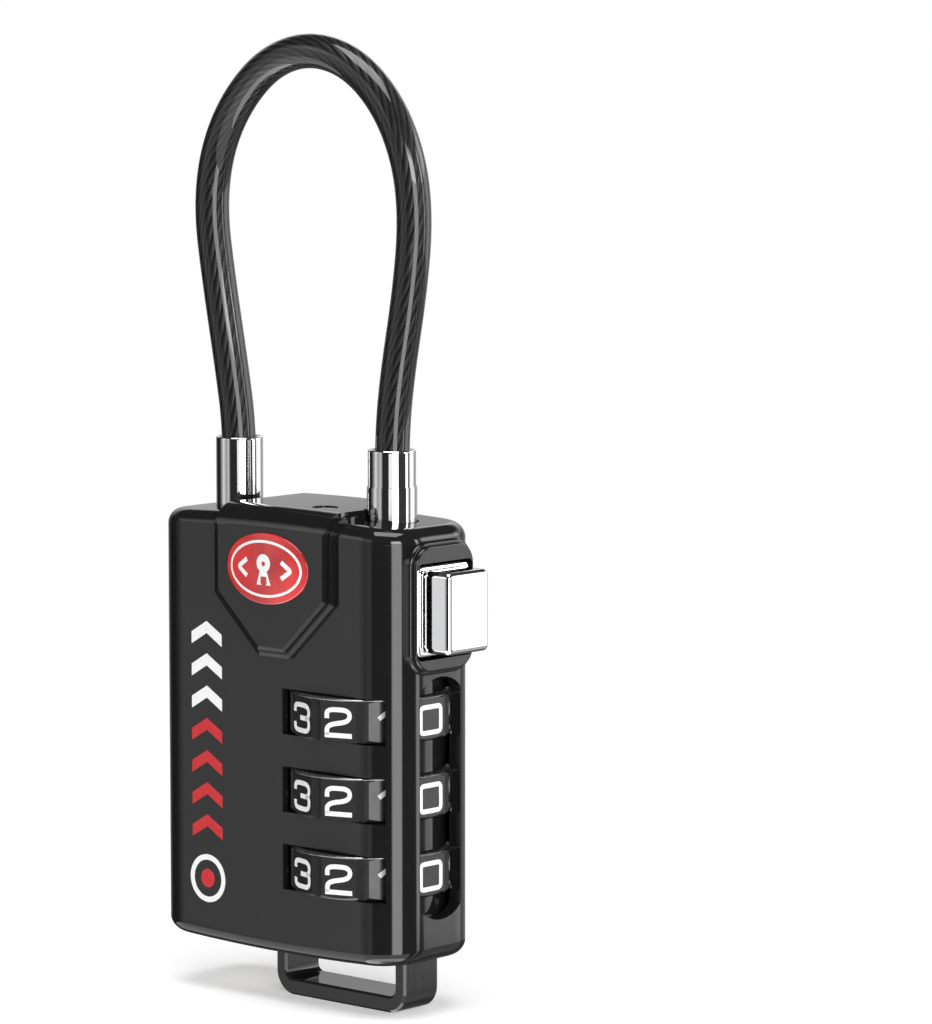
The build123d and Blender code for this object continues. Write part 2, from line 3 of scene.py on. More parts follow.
import bmesh
import bpy
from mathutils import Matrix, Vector


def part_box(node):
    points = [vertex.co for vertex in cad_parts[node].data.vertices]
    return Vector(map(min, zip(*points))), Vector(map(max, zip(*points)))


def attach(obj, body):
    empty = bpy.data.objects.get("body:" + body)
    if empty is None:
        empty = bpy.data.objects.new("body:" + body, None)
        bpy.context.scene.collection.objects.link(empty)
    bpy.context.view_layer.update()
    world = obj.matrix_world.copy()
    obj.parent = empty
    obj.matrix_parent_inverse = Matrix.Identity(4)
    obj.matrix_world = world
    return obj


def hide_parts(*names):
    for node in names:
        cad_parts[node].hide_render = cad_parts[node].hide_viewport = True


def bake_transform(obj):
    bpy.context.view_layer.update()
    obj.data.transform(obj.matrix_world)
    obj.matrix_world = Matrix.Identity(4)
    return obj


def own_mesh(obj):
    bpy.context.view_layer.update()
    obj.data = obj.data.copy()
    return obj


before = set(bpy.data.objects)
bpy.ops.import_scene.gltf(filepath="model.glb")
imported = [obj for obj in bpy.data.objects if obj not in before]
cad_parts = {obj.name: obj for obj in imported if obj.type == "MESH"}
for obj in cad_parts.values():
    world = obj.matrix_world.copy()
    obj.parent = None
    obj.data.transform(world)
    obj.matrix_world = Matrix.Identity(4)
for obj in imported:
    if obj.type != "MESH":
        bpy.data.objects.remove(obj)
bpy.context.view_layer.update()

# Looks for a cable luggage lock. Metres, +Z up, front towards -Y.
# Places on the casing are worked out from the boxes of the CAD nodes they belong to.
MM = 0.001


def box(node):
    """The lowest and highest corner of a CAD node's box."""
    return tuple(Vector(corner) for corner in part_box(node))


def middle(node):
    """The centre of a CAD node's box."""
    low, high = box(node)
    return (low + high) / 2


def finish_piece(name, bm):
    """Turns a bmesh into a shown object."""
    mesh = bpy.data.meshes.new(name)
    bm.to_mesh(mesh)
    bm.free()
    piece = bpy.data.objects.new(name, mesh)
    bpy.context.collection.objects.link(piece)
    return piece


def finish_solid(name, bm):
    """Turns a closed bmesh into a shown object, with its faces turned outwards."""
    bmesh.ops.recalc_face_normals(bm, faces=bm.faces)
    return finish_piece(name, bm)


CASE_X = middle("rear_cover").x
CASE_FRONT = box("front_shell")[0].y
CASE_MIDDLE_Y = middle("spindle").y

# ---------------------------------------------------------------- camera

CAMERA_AZIMUTH = 41.5
CAMERA_ELEVATION = 6.4
CAMERA_DISTANCE = 0.4409
CAMERA_LENS = 172.1
CAMERA_AIM = Vector((0.00839, 0.009045, 0.04399))
CAMERA_CLIP = (0.01, 20)


def make_camera():
    """A camera on the ray from its aim point at that azimuth, from -Y towards +X, and elevation."""
    azimuth = math.radians(CAMERA_AZIMUTH)
    elevation = math.radians(CAMERA_ELEVATION)
    level = Vector((math.sin(azimuth), -math.cos(azimuth), 0))
    back = level * math.cos(elevation) + Vector((0, 0, math.sin(elevation)))
    data = bpy.data.cameras.new("camera")
    data.lens = CAMERA_LENS
    data.clip_start, data.clip_end = CAMERA_CLIP
    camera = bpy.data.objects.new("camera", data)
    bpy.context.collection.objects.link(camera)
    camera.rotation_mode = "QUATERNION"
    camera.location = CAMERA_AIM + back * CAMERA_DISTANCE
    camera.rotation_quaternion = (-back).to_track_quat("-Z", "Y")
    bpy.context.scene.camera = camera


make_camera()

# ---------------------------------------------------------------- the cable's tube

CABLE_DIAMETER = 3.1 * MM
CABLE_SIDES = 40
CABLE_STEPS_PER_SPAN = 14

# Control points of the loop: x from the casing's middle and z, in millimetres.
CABLE_ROUTE = [
    (-9.4, 46.4),
    (-9.4, 50.9),
    (-10.3, 56.3),
    (-11.95, 64.6),
    (-12.95, 71.0),
    (-12.0, 76.5),
    (-9.3, 81.0),
    (-5.2, 84.45),
    (-0.2, 85.65),
    (4.9, 84.35),
    (9.0, 80.8),
    (11.5, 76.0),
    (12.25, 70.8),
    (11.6, 64.6),
    (9.95, 56.3),
    (9.4, 50.9),
    (9.4, 46.4),
]


def cable_line():
    """The cable's centreline: a smooth NURBS curve with the route as its control points."""
    curve = bpy.data.curves.new("cable_route", "CURVE")
    curve.dimensions = "3D"
    curve.resolution_u = CABLE_STEPS_PER_SPAN
    spline = curve.splines.new("NURBS")
    spline.points.add(len(CABLE_ROUTE) - 1)
    for point, (x, z) in zip(spline.points, CABLE_ROUTE):
        point.co = (CASE_X + x * MM, CASE_MIDDLE_Y, z * MM, 1)
    spline.order_u = 3
    spline.use_endpoint_u = True
    holder = bpy.data.objects.new("cable_route", curve)
    bpy.context.collection.objects.link(holder)
    line = bpy.data.meshes.new_from_object(holder)
    points = [vertex.co.copy() for vertex in line.vertices]
    bpy.data.objects.remove(holder)
    return points


def make_cable():
    """A round tube along the centreline. U runs once round it, and V is metres along it."""
    points = cable_line()
    bm = bmesh.new()
    uv_layer = bm.loops.layers.uv.new("uv")
    sideways = Vector((0, 1, 0))
    rings = []
    travelled = [0.0]
    for index, point in enumerate(points):
        before = points[max(index - 1, 0)]
        after = points[min(index + 1, len(points) - 1)]
        along = (after - before).normalized()
        outward = sideways.cross(along)
        ring = []
        for side in range(CABLE_SIDES):
            turn = math.tau * side / CABLE_SIDES
            offset = outward * math.cos(turn) + sideways * math.sin(turn)
            ring.append(bm.verts.new(point + offset * CABLE_DIAMETER / 2))
        rings.append(ring)
        if index:
            travelled.append(travelled[-1] + (point - before).length)
    for step in range(len(rings) - 1):
        for side in range(CABLE_SIDES):
            next_side = (side + 1) % CABLE_SIDES
            corners = (
                (step, side, side),
                (step, next_side, side + 1),
                (step + 1, next_side, side + 1),
                (step + 1, side, side),
            )
            face = bm.faces.new([rings[at][vertex] for at, vertex, _ in corners])
            face.smooth = True
            for loop, (at, _, turn) in zip(face.loops, corners):
                loop[uv_layer].uv = (turn / CABLE_SIDES, travelled[at])
    bm.faces.new(rings[0])
    bm.faces.new(list(reversed(rings[-1])))
    cable = finish_solid("cable_tube", bm)
    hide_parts("cable")
    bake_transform(cable)
    return cable


cable_tube = make_cable()

# ---------------------------------------------------------------- materials

# Noise seldom leaves this middle part of its 0 to 1 range.
NOISE_MIDDLE = (0.3, 0.7)


class Material:
    """A Principled material with short calls for the nodes these materials share."""

    def __init__(self, name, colour, roughness, metallic=0.0):
        self.material = bpy.data.materials.new(name)
        self.material.use_nodes = True
        self.nodes = self.material.node_tree.nodes
        self.links = self.material.node_tree.links
        self.shader = self.nodes["Principled BSDF"]
        self.shader.inputs["Base Color"].default_value = (*colour, 1)
        self.shader.inputs["Roughness"].default_value = roughness
        self.shader.inputs["Metallic"].default_value = metallic
        self.place = self.nodes.new("ShaderNodeTexCoord")

    def noise(self, scale, detail=3.0, stretch=(1, 1, 1)):
        """Noise on the piece's own coordinates, in lumps per metre."""
        mapping = self.nodes.new("ShaderNodeMapping")
        mapping.inputs["Scale"].default_value = stretch
        texture = self.nodes.new("ShaderNodeTexNoise")
        texture.inputs["Scale"].default_value = scale
        texture.inputs["Detail"].default_value = detail
        self.links.new(self.place.outputs["Object"], mapping.inputs["Vector"])
        self.links.new(mapping.outputs["Vector"], texture.inputs["Vector"])
        return texture.outputs["Fac"]

    def spread(self, source, low, high):
        """Stretches the middle of a 0 to 1 value to the range low to high."""
        node = self.nodes.new("ShaderNodeMapRange")
        node.inputs["From Min"].default_value = NOISE_MIDDLE[0]
        node.inputs["From Max"].default_value = NOISE_MIDDLE[1]
        node.inputs["To Min"].default_value = low
        node.inputs["To Max"].default_value = high
        self.links.new(source, node.inputs["Value"])
        return node.outputs["Result"]

    def colour_from(self, factor, first, second):
        """A base colour between two colours."""
        node = self.nodes.new("ShaderNodeMix")
        node.data_type = "RGBA"
        node.inputs[6].default_value = (*first, 1)
        node.inputs[7].default_value = (*second, 1)
        self.links.new(factor, node.inputs[0])
        self.links.new(node.outputs[2], self.shader.inputs["Base Color"])

    def roughness_from(self, factor, low, high):
        """A roughness from low to high."""
        self.links.new(self.spread(factor, low, high), self.shader.inputs["Roughness"])

    def bump_from(self, height, depth, strength=1.0):
        """Bumps depth metres deep."""
        node = self.nodes.new("ShaderNodeBump")
        node.inputs["Distance"].default_value = depth
        node.inputs["Strength"].default_value = strength
        self.links.new(height, node.inputs["Height"])
        self.links.new(node.outputs["Normal"], self.shader.inputs["Normal"])

    def clear_coat(self, roughness):
        """A full clear coat."""
        self.shader.inputs["Coat Weight"].default_value = 1.0
        self.shader.inputs["Coat Roughness"].default_value = roughness


def gloss_plastic(name, dark, light, roughness, waviness):
    """Moulded gloss plastic: faint flow marks in its colour, a wavy skin and fine handling marks."""
    made = Material(name, dark, roughness)
    made.colour_from(made.noise(120, 4), dark, light)
    made.roughness_from(made.noise(2600, 5, (1, 1, 0.25)), roughness * 0.75, roughness * 1.35)
    made.bump_from(made.noise(900, 2), waviness)
    return made.material


def satin_plastic(name, dark, light, roughness, grain):
    """Moulded plastic with a fine etched grain."""
    made = Material(name, dark, roughness)
    made.colour_from(made.noise(300, 4), dark, light)
    made.roughness_from(made.noise(1800, 4), roughness * 0.85, roughness * 1.2)
    made.bump_from(made.noise(6000, 2), grain)
    return made.material


def metal(name, dark, light, roughness, brush, bumps):
    """Metal with a finish drawn out by brush, from mirror-like plate to bare casting."""
    made = Material(name, dark, roughness, metallic=1.0)
    made.colour_from(made.noise(400, 4), dark, light)
    made.roughness_from(made.noise(3000, 5, brush), roughness * 0.6, roughness * 1.5)
    made.bump_from(made.noise(5000, 4, brush), bumps)
    return made.material


STRANDS = 20
STRAND_LAY = 0.034


def cable_vinyl(name):
    """Smoky vinyl over a twisted steel rope: dim slanting strands under a clear, smooth coat."""
    made = Material(name, (0.008, 0.008, 0.009), 0.35)
    parts = made.nodes.new("ShaderNodeSeparateXYZ")
    made.links.new(made.place.outputs["UV"], parts.inputs["Vector"])
    round_it = made.nodes.new("ShaderNodeMath")
    round_it.operation = "MULTIPLY"
    round_it.inputs[1].default_value = STRANDS
    made.links.new(parts.outputs["X"], round_it.inputs[0])
    slant = made.nodes.new("ShaderNodeMath")
    slant.operation = "MULTIPLY_ADD"
    slant.inputs[1].default_value = -STRANDS / STRAND_LAY
    made.links.new(parts.outputs["Y"], slant.inputs[0])
    made.links.new(round_it.outputs[0], slant.inputs[2])
    strand = made.nodes.new("ShaderNodeMath")
    strand.operation = "PINGPONG"
    strand.inputs[1].default_value = 0.5
    made.links.new(slant.outputs[0], strand.inputs[0])
    ridge = made.nodes.new("ShaderNodeMapRange")
    ridge.interpolation_type = "SMOOTHSTEP"
    ridge.inputs["From Max"].default_value = 0.5
    made.links.new(strand.outputs[0], ridge.inputs["Value"])
    made.colour_from(ridge.outputs["Result"], (0.003, 0.003, 0.0033), (0.019, 0.019, 0.020))
    made.bump_from(ridge.outputs["Result"], 0.00008, 0.6)
    made.roughness_from(made.noise(1500, 4), 0.30, 0.42)
    made.shader.inputs["Specular IOR Level"].default_value = 0.22
    made.clear_coat(0.03)
    return made.material


def badge_resin(name):
    """Deep red resin with paler clouds in it, under a clear coat."""
    made = Material(name, (0.5, 0.01, 0.01), 0.2)
    made.colour_from(made.spread(made.noise(260, 3), 0, 1), (0.42, 0.008, 0.010), (0.80, 0.045, 0.045))
    made.roughness_from(made.noise(1500, 3), 0.12, 0.25)
    made.bump_from(made.noise(500, 2), 0.00004, 0.5)
    made.clear_coat(0.04)
    return made.material


def print_ink(name, dark, light):
    """Pad-printed ink, slightly uneven."""
    made = Material(name, dark, 0.45)
    made.colour_from(made.spread(made.noise(2500, 4), 0, 1), dark, light)
    made.roughness_from(made.noise(4000, 3), 0.38, 0.55)
    made.bump_from(made.noise(9000, 3), 0.000003)
    return made.material


SHELL_BLACK = gloss_plastic("shell_black", (0.009, 0.009, 0.0092), (0.013, 0.013, 0.0132), 0.055, 0.0000008)
PANEL_BLACK = gloss_plastic("panel_black", (0.009, 0.009, 0.0092), (0.012, 0.012, 0.0122), 0.045, 0.0000006)
LOOP_BLACK = gloss_plastic("loop_black", (0.012, 0.012, 0.0122), (0.018, 0.018, 0.0183), 0.07, 0.000001)
INNER_BLACK = gloss_plastic("inner_black", (0.008, 0.008, 0.0082), (0.013, 0.013, 0.0132), 0.07, 0.000001)
DIAL_BLACK = satin_plastic("dial_black", (0.020, 0.020, 0.0205), (0.030, 0.030, 0.0305), 0.22, 0.0000004)
BADGE_RED = badge_resin("badge_red")
CHROME = metal("chrome", (0.86, 0.86, 0.87), (0.92, 0.92, 0.93), 0.05, (1, 1, 0.3), 0.0000006)
STEEL = metal("steel", (0.50, 0.50, 0.51), (0.62, 0.62, 0.63), 0.28, (1, 0.15, 1), 0.000004)
RIVET_STEEL = metal("rivet_steel", (0.30, 0.30, 0.31), (0.34, 0.34, 0.35), 0.30, (1, 1, 1), 0.0000003)
ZINC = metal("zinc", (0.40, 0.40, 0.42), (0.50, 0.50, 0.52), 0.45, (1, 1, 1), 0.00001)
BRASS = metal("brass", (0.71, 0.53, 0.25), (0.75, 0.57, 0.28), 0.26, (1, 1, 0.15), 0.000001)
CABLE_VINYL = cable_vinyl("cable_vinyl")
# Grey metal for the ring round each dial's top edge: its light colour is a painted highlight on the black
# dial.
RIM_HIGHLIGHT_GREY = metal("rim_highlight_grey", (0.30, 0.30, 0.31), (0.45, 0.45, 0.46), 0.3, (1, 1, 1), 0.000001)
WHITE_INK = print_ink("white_ink", (0.88, 0.88, 0.88), (0.95, 0.95, 0.95))
RED_INK = print_ink("red_ink", (0.52, 0.012, 0.018), (0.66, 0.025, 0.030))

NODE_MATERIALS = {
    SHELL_BLACK: ["front_shell", "rear_cover"],
    PANEL_BLACK: ["shield_panel", "button_bezel"],
    LOOP_BLACK: ["strap_loop"],
    INNER_BLACK: ["dial_cage", "reset_pin"],
    DIAL_BLACK: ["dial_top", "dial_middle", "dial_bottom"],
    BADGE_RED: ["badge"],
    CHROME: ["push_button", "ferrule_left", "ferrule_right", "plug_pin", "anchor_stub"],
    STEEL: [
        "latch_slide",
        "code_fence",
        "button_spring",
        "ejector_spring",
        "reset_spring",
        "detent_springs",
        "spindle",
        "anchor_clip",
        "key_cam",
    ],
    RIVET_STEEL: ["cover_rivets"],
    ZINC: ["lock_block", "key_housing"],
    BRASS: ["gate_sleeve_top", "gate_sleeve_middle", "gate_sleeve_bottom", "key_plug", "key_wafers"],
}


def dress(piece, material):
    """Gives a piece or a CAD node one material."""
    if not piece.material_slots:
        piece.data.materials.append(material)
    for slot in piece.material_slots:
        slot.material = material


for material, nodes in NODE_MATERIALS.items():
    for node in nodes:
        dress(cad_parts[node], material)
dress(cable_tube, CABLE_VINYL)

# ---------------------------------------------------------------- coil springs

SPRING_WIRE_SIDES = 8
SPRING_STEPS_PER_TURN = 24
BUTTON_SPRING_WIRE = 0.3 * MM
BUTTON_SPRING_TURNS = 7
RESET_SPRING_WIRE = 0.22 * MM
RESET_SPRING_TURNS = 4


def make_spring(node, along, wire, turns):
    """A coil in its CAD node's box."""
    low, high = box(node)
    length = (high - low).dot(along)
    foot = (low + high) / 2 - along * length / 2
    side = along.orthogonal().normalized()
    other_side = along.cross(side)
    coil_r = abs((high - low).dot(side)) / 2 - wire / 2
    steps = turns * SPRING_STEPS_PER_TURN
    section = [math.tau * part / SPRING_WIRE_SIDES for part in range(SPRING_WIRE_SIDES)]
    bm = bmesh.new()
    rings = []
    for step in range(steps + 1):
        turn = math.tau * turns * step / steps
        outward = side * math.cos(turn) + other_side * math.sin(turn)
        centre = foot + along * (wire / 2 + (length - wire) * step / steps) + outward * coil_r
        spokes = [(outward * math.cos(t) + along * math.sin(t)) * wire / 2 for t in section]
        rings.append([bm.verts.new(centre + spoke) for spoke in spokes])
    for first, second in zip(rings, rings[1:]):
        for part in range(SPRING_WIRE_SIDES):
            following = (part + 1) % SPRING_WIRE_SIDES
            face = bm.faces.new([first[part], second[part], second[following], first[following]])
            face.smooth = True
    bm.faces.new(list(reversed(rings[0])))
    bm.faces.new(rings[-1])
    spring = finish_solid(node + "_coil", bm)
    dress(spring, STEEL)
    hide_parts(node)
    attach(spring, "housing")
    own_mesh(spring)


ALONG_X = Vector((1, 0, 0))
ALONG_Z = Vector((0, 0, 1))
make_spring("button_spring", ALONG_X, BUTTON_SPRING_WIRE, BUTTON_SPRING_TURNS)
make_spring("reset_spring", ALONG_Z, RESET_SPRING_WIRE, RESET_SPRING_TURNS)

# ---------------------------------------------------------------- prints: flat shapes on a surface

CORNER_STEPS = 6
INK_T = 0.03 * MM

# The share of a print's thickness that is sunk in the surface under it.
SUNK = 0.4


def rounded(points, radius, closed=False):
    """A polyline with each corner turned into a short curve, radius from the corner."""
    path = []
    count = len(points)
    for index, point in enumerate(points):
        here = Vector(point)
        if not closed and index in (0, count - 1):
            path.append(here)
            continue
        before = Vector(points[index - 1])
        after = Vector(points[(index + 1) % count])
        reach_in = min(radius, (before - here).length / 2)
        reach_out = min(radius, (after - here).length / 2)
        start = here + (before - here).normalized() * reach_in
        end = here + (after - here).normalized() * reach_out
        for step in range(CORNER_STEPS + 1):
            t = step / CORNER_STEPS
            path.append(start * (1 - t) ** 2 + here * 2 * t * (1 - t) + end * t**2)
    return path


def ribbon(bm, path, width, place, closed=False):
    """A raised line of that width along a flat path. place puts a flat point and a height in space."""
    sections = []
    count = len(path)
    for index, point in enumerate(path):
        before = path[index - 1] if closed or index else point
        after = path[(index + 1) % count] if closed or index < count - 1 else point
        along = (after - before).normalized()
        across = Vector((-along.y, along.x)) * width / 2
        sections.append(
            [
                bm.verts.new(place(point + across, 1)),
                bm.verts.new(place(point - across, 1)),
                bm.verts.new(place(point - across, 0)),
                bm.verts.new(place(point + across, 0)),
            ]
        )
    pairs = list(zip(sections, sections[1:]))
    if closed:
        pairs.append((sections[-1], sections[0]))
    else:
        bm.faces.new(sections[0])
        bm.faces.new(list(reversed(sections[-1])))
    for first, second in pairs:
        for corner in range(4):
            other = (corner + 1) % 4
            bm.faces.new([first[corner], second[corner], second[other], first[other]])


def plate(bm, outline, place):
    """A raised flat shape with that outline."""
    top = [bm.verts.new(place(point, 1)) for point in outline]
    foot = [bm.verts.new(place(point, 0)) for point in outline]
    bm.faces.new(top)
    bm.faces.new(list(reversed(foot)))
    for index in range(len(outline)):
        other = (index + 1) % len(outline)
        bm.faces.new([top[index], top[other], foot[other], foot[index]])


def circle(centre, radius, steps=48, start=0.0, sweep=math.tau):
    """Points round a circle, or along a part of it."""
    whole = abs(sweep - math.tau) < 1e-6
    last = steps if whole else steps - 1
    turns = [start + sweep * step / last for step in range(steps)]
    return [Vector((centre[0] + radius * math.cos(t), centre[1] + radius * math.sin(t))) for t in turns]


def printed(name, bm, material, body):
    """A print, or a thin edge, that rides on a body."""
    piece = finish_solid(name, bm)
    dress(piece, material)
    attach(piece, body)
    return piece


# ---------------------------------------------------------------- dial digits

DIGIT_W = 2.46 * MM
DIGIT_H = 2.3 * MM
DIGIT_DROP = 0.15 * MM
DIGIT_CORNER = 0.85 * MM
BOX_CORNER = 0.42 * MM
DIGIT_STROKE = 0.43 * MM
FACET_R = 7.1 * MM
DIGIT_STEP = math.radians(36)

# Strokes of the digits 0 to 9 on a grid from -1 to 1 each way. A stroke that ends where it starts is closed.
BOX = [(-1.07, -1), (1.07, -1), (1.07, 1), (-1.07, 1), (-1.07, -1)]
DIGITS = [
    [BOX],
    [[(-0.65, 0.35), (0.15, 1), (0.15, -1)]],
    [[(-0.9, 0.3), (-0.9, 1), (0.9, 1), (0.9, 0.12), (-0.9, -0.22), (-0.9, -1)], [(-1.07, -1), (1.07, -1)]],
    [[(-1, 0.4), (-1, 1), (1, 1), (1, 0), (-0.25, 0)], [(0.5, 0), (1, 0), (1, -1), (-1, -1), (-1, -0.4)]],
    [[(0.35, 1), (-1, -0.3), (1, -0.3)], [(0.45, 0.2), (0.45, -1)]],
    [[(-1.19, 1), (1, 1)], [(-1, 1), (-1, 0.15), (1, 0.15), (1, -1), (-1, -1), (-1, -0.5)]],
    [[(0.85, 1), (-1, 1), (-1, -1), (1, -1), (1, 0.05), (-1, 0.05)]],
    [[(-1, 1), (1, 1), (1, 0.6), (-0.2, -1)]],
    [BOX, [(-1.07, 0), (1.07, 0)]],
    [[(1, -0.05), (-1, -0.05), (-1, 1), (1, 1), (1, -1), (-0.85, -1)]],
]


def make_digits(level):
    """All ten digits of one dial, 0 facing the side slot and counting up towards the front."""
    centre = middle("dial_" + level)
    bm = bmesh.new()
    for number, strokes in enumerate(DIGITS):
        angle = -DIGIT_STEP * number
        outward = Vector((math.cos(angle), math.sin(angle), 0))
        rightward = Vector((-math.sin(angle), math.cos(angle), 0))

        def on_facet(point, lift, outward=outward, rightward=rightward):
            distance = FACET_R + INK_T * (lift - SUNK)
            return centre + outward * distance + rightward * point.x + Vector((0, 0, point.y - DIGIT_DROP))

        for stroke in strokes:
            closed = stroke[0] == stroke[-1]
            points = [(x * DIGIT_W / 2, y * DIGIT_H / 2) for x, y in stroke]
            if closed:
                points = points[:-1]
            corner = BOX_CORNER if closed else DIGIT_CORNER
            ribbon(bm, rounded(points, corner, closed), DIGIT_STROKE, on_facet, closed)
    return printed("digits_" + level, bm, WHITE_INK, "dial_" + level)


RIM_OUTER_R = 7.4 * MM
RIM_INNER_R = 6.7 * MM
RIM_T = 0.14 * MM
RIM_LIFT = 0.012 * MM
RIM_EDGE = 0.05 * MM
RIM_STEPS = 180


def make_rim_highlight(level):
    """A thin grey metal ring round the top of a dial. Its light colour is a painted highlight on the black
    dial's top edge.
    """
    top = box("dial_" + level)[1].z + RIM_LIFT
    centre = middle("dial_" + level)
    outline = [
        (RIM_INNER_R, top - RIM_T),
        (RIM_OUTER_R - RIM_EDGE, top - RIM_T),
        (RIM_OUTER_R, top - RIM_T + RIM_EDGE),
        (RIM_OUTER_R, top - RIM_EDGE),
        (RIM_OUTER_R - RIM_EDGE, top),
        (RIM_INNER_R, top),
    ]
    bm = bmesh.new()
    rings = []
    for step in range(RIM_STEPS):
        turn = math.tau * step / RIM_STEPS
        across, along = math.cos(turn), math.sin(turn)
        corners = [(centre.x + across * radius, centre.y + along * radius, z) for radius, z in outline]
        rings.append([bm.verts.new(corner) for corner in corners])
    for step, ring in enumerate(rings):
        following = rings[(step + 1) % RIM_STEPS]
        for part in range(len(outline)):
            other = (part + 1) % len(outline)
            bm.faces.new([ring[part], following[part], following[other], ring[other]])
    return printed("painted_rim_highlight_" + level, bm, RIM_HIGHLIGHT_GREY, "dial_" + level)


for level in ("top", "middle", "bottom"):
    make_digits(level)
    make_rim_highlight(level)

# ---------------------------------------------------------------- front print and badge

PRINT_X = CASE_X - 7.85 * MM
PRINT_HALF_W = 1.9 * MM
CHEVRON_FIRST_Z = 14.1 * MM
CHEVRON_STEP = 2.95 * MM
CHEVRON_COUNT = 7
CHEVRON_RED = 4
CHEVRON_RISE = 1.1 * MM
CHEVRON_THICK = 1.0925 * MM
RING_Z = 10.4 * MM
RING_R = 1.95 * MM
RING_STROKE = 0.5 * MM
DOT_R = 0.85 * MM


def on_front(point, lift):
    """A flat point on the casing's front face, as (x, z)."""
    return Vector((point.x, CASE_FRONT - INK_T * (lift - SUNK), point.y))


def make_front_print():
    """A plain column of chevrons, red then white, over a ring with a dot."""
    red = bmesh.new()
    white = bmesh.new()
    for number in range(CHEVRON_COUNT):
        foot = CHEVRON_FIRST_Z + number * CHEVRON_STEP
        wings = [
            Vector((PRINT_X - PRINT_HALF_W, foot)),
            Vector((PRINT_X, foot + CHEVRON_RISE)),
            Vector((PRINT_X + PRINT_HALF_W, foot)),
        ]
        lifted = [point + Vector((0, CHEVRON_THICK)) for point in reversed(wings)]
        plate(red if number < CHEVRON_RED else white, wings + lifted, on_front)
    ribbon(white, circle((PRINT_X, RING_Z), RING_R), RING_STROKE, on_front, closed=True)
    plate(red, circle((PRINT_X, RING_Z), DOT_R), on_front)
    printed("print_red", red, RED_INK, "housing")
    printed("print_white", white, WHITE_INK, "housing")


BADGE_INLAY_T = 0.02 * MM
BADGE_DOME_R = 26 * MM
OVAL_INSET = 0.75 * MM
OVAL_STROKE = 0.24 * MM
OVAL_STEPS = 72
KEYHOLE_HEAD_Z = 0.5 * MM
KEYHOLE_HEAD_R = 0.82 * MM
KEYHOLE_NECK = math.radians(62)
KEYHOLE_HALF_FOOT = 0.85 * MM
KEYHOLE_FOOT_Z = -1.45 * MM
ARROW_TAIL_X = 2.1 * MM
ARROW_TIP_X = 3.2 * MM
ARROW_HALF_H = 0.75 * MM
ARROW_STROKE = 0.42 * MM
ARROW_CORNER = 0.3 * MM


def make_badge_inlay():
    """A keyhole between two arrowheads in a thin oval line, set in the badge's domed face."""
    low, high = box("badge")
    centre = (low + high) / 2
    oval_half_w = (high.x - low.x) / 2 - OVAL_INSET
    oval_half_h = (high.z - low.z) / 2 - OVAL_INSET

    def on_badge(point, lift):
        depth = BADGE_DOME_R - math.sqrt(BADGE_DOME_R**2 - point.length_squared)
        inward = depth + BADGE_INLAY_T * (SUNK - lift)
        return Vector((centre.x + point.x, low.y + inward, centre.z + point.y))

    bm = bmesh.new()
    oval = [Vector((point.x * oval_half_w, point.y * oval_half_h)) for point in circle((0, 0), 1, OVAL_STEPS)]
    ribbon(bm, oval, OVAL_STROKE, on_badge, closed=True)
    neck_start = KEYHOLE_NECK / 2 - math.pi / 2
    head = circle((0, KEYHOLE_HEAD_Z), KEYHOLE_HEAD_R, 32, neck_start, math.tau - KEYHOLE_NECK)
    foot = [Vector((side * KEYHOLE_HALF_FOOT, KEYHOLE_FOOT_Z)) for side in (-1, 1)]
    plate(bm, head + foot, on_badge)
    for side in (-1, 1):
        tail_x = side * ARROW_TAIL_X
        arrow = [(tail_x, ARROW_HALF_H), (side * ARROW_TIP_X, 0), (tail_x, -ARROW_HALF_H)]
        ribbon(bm, rounded(arrow, ARROW_CORNER), ARROW_STROKE, on_badge)
    return printed("badge_inlay", bm, WHITE_INK, "housing")


make_front_print()
make_badge_inlay()

# ---------------------------------------------------------------- studio

# Brightness of the studio seen round the lock, by azimuth in degrees from -Y towards +X:
# pale walls, one bright strip by the camera, one broad panel to the right and dark gaps between.
WALLS = [
    (-180, 0.45),
    (-140, 0.75),
    (-115, 0.40),
    (-95, 0.02),
    (-68, 0.02),
    (-52, 0.40),
    (-42, 0.95),
    (-26, 0.40),
    (-12, 0.70),
    (-3, 0.03),
    (44, 0.03),
    (48, 6.4),
    (70, 6.4),
    (73, 0.05),
    (107, 0.05),
    (111, 0.15),
    (114, 4.5),
    (119, 4.5),
    (122, 0.2),
    (131, 0.4),
    (135, 2.3),
    (158, 2.2),
    (170, 0.5),
    (180, 0.45),
]
WALLS_BRIGHTEST = 6.4

# Heights and depths are the z and y of the direction looked in. The walls are brighter in a band under
# their top and dimmer at their foot behind the lock, and it is nearly dark over them. The table in front
# glows, with a brighter card on it.
WALLS_TOP = 0.46
WALLS_TOP_SOFT = 0.06
DARK_ABOVE = 0.06
UPPER_BAND_FOOT = 0.22
UPPER_BAND_GAIN = 1.2
REAR_WALL_FOOT = -0.2
REAR_DIMMED = 0.75
TABLE_BELOW = -0.42
TABLE_BACK = 0.1
TABLE_GLOW = 1.6
TABLE_CARD = (-0.97, -0.82)
TABLE_CARD_GLOW = 3.6


